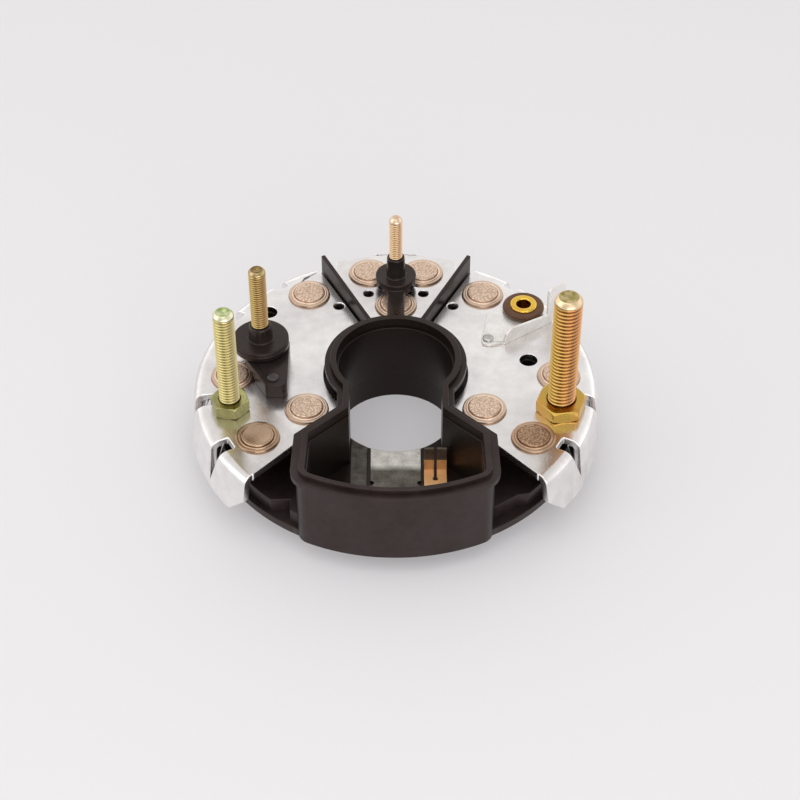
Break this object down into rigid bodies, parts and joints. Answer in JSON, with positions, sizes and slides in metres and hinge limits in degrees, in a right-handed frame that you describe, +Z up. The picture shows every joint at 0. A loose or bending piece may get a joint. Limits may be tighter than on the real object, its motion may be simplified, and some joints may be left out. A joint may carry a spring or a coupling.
{
  "type": "alternator rectifier",
  "caption": "Alternator rectifier: stamped aluminium heat-sink plates with press-fit diodes and threaded terminals on a black moulded carrier with a brush box and a slip-ring collar.",
  "frame": {"origin": "on the slip-ring bore's axis, at the lower face of the locating spigot", "axes": "+Z up along the bore and the threaded studs, -Y to the open brush box, +X to the positive plate"},
  "size_m": [0.12, 0.1149, 0.0664],
  "materials": {
    "moulding": "satin",
    "insulator": "satin",
    "bush": "satin",
    "sink": "bright",
    "diode": "satin",
    "gold_zinc": "bright",
    "green_zinc": "bright",
    "brass": "bright",
    "dark_rivet": "satin",
    "tin": "satin",
    "copper": "bright"
  },
  "bodies": {
    "root": {"carrier": "moulding", "negative_plate": "sink", "positive_plate": "sink", "exciter_plate": "sink", "negative_diode_1": "diode", "negative_diode_2": "diode", "negative_diode_3": "diode", "negative_diode_4": "diode", "positive_diode_1": "diode", "positive_diode_2": "diode", "positive_diode_3": "diode", "positive_diode_4": "diode", "exciter_diode_1": "diode", "exciter_diode_2": "diode", "exciter_diode_3": "diode", "positive_stud": "gold_zinc", "positive_nut": "gold_zinc", "negative_stud": "green_zinc", "negative_nut": "green_zinc", "tach_stud": "brass", "tach_insulator": "insulator", "insulator_rivet": "dark_rivet", "exciter_stud": "brass", "exciter_sleeve": "insulator", "frame_bush": "bush", "frame_eyelet": "brass", "blade_terminal": "tin", "blade_rivet": "tin", "phase_bar_u": "copper", "phase_bar_v": "copper", "phase_bar_w": "copper", "neutral_bar": "copper", "contact_plate": "tin", "contact_strip": "tin", "contact_fork": "copper"}
  },
  "joints": []
}
